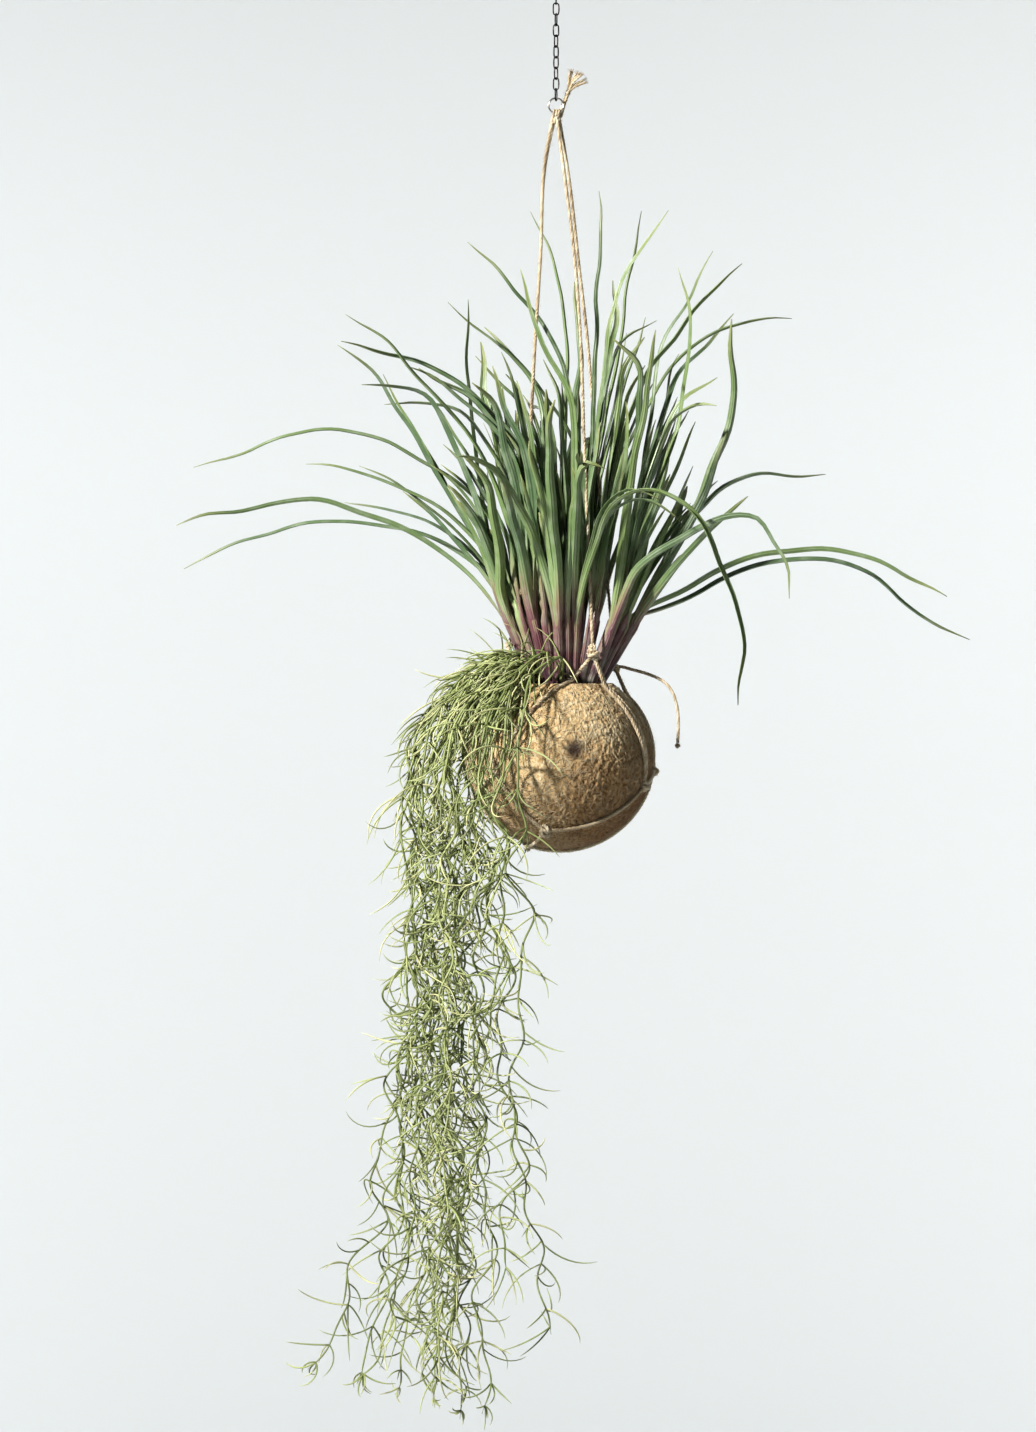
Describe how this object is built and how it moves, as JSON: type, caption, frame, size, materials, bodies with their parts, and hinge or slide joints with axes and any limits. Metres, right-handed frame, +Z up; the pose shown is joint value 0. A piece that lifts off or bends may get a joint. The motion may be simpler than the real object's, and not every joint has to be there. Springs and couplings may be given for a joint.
{
  "type": "kokedama moss ball plant",
  "caption": "Hanging planter: a round fibre ball in a jute net, with a clump of tall strap grass and a long trailing spray of needles, on a light chain with a ring for a hook.",
  "frame": {"origin": "the inner top of the top ring, the point that rests on a hook", "axes": "+Z up, front of the planter towards -Y, +X to the right in the front view"},
  "size_m": [0.571, 0.2833, 1.0392],
  "materials": {
    "dark_steel": "dark, slightly blackened",
    "nickel": "bright plating",
    "jute": "rough twisted fibre",
    "pressed_fibre": "rough, matted fibre",
    "soil": "crumbly, matt",
    "grass": "leaf, half matt",
    "spray": "needle leaf, half matt"
  },
  "bodies": {
    "root": {"top_ring": "dark_steel", "chain": "dark_steel", "split_ring": "nickel", "twine_hitch": "jute", "twine_leg_left": "jute", "twine_leg_front": "jute", "twine_leg_right": "jute", "twine_leg_back": "jute", "twine_net": "jute", "loose_tail": "jute", "loose_tail_knot": "jute", "fibre_ball": "pressed_fibre", "soil": "soil", "grass_shoot_01": "grass", "grass_shoot_02": "grass", "grass_shoot_03": "grass", "grass_shoot_04": "grass", "grass_shoot_05": "grass", "grass_shoot_06": "grass", "grass_shoot_07": "grass", "grass_shoot_08": "grass", "grass_shoot_09": "grass", "grass_shoot_10": "grass", "grass_shoot_11": "grass", "grass_shoot_12": "grass", "grass_shoot_13": "grass", "grass_shoot_14": "grass", "trailing_strand_01": "spray", "trailing_strand_02": "spray", "trailing_strand_03": "spray", "trailing_strand_04": "spray", "trailing_strand_05": "spray", "trailing_strand_06": "spray", "trailing_strand_07": "spray", "trailing_strand_08": "spray", "trailing_strand_09": "spray", "trailing_strand_10": "spray"}
  },
  "joints": []
}
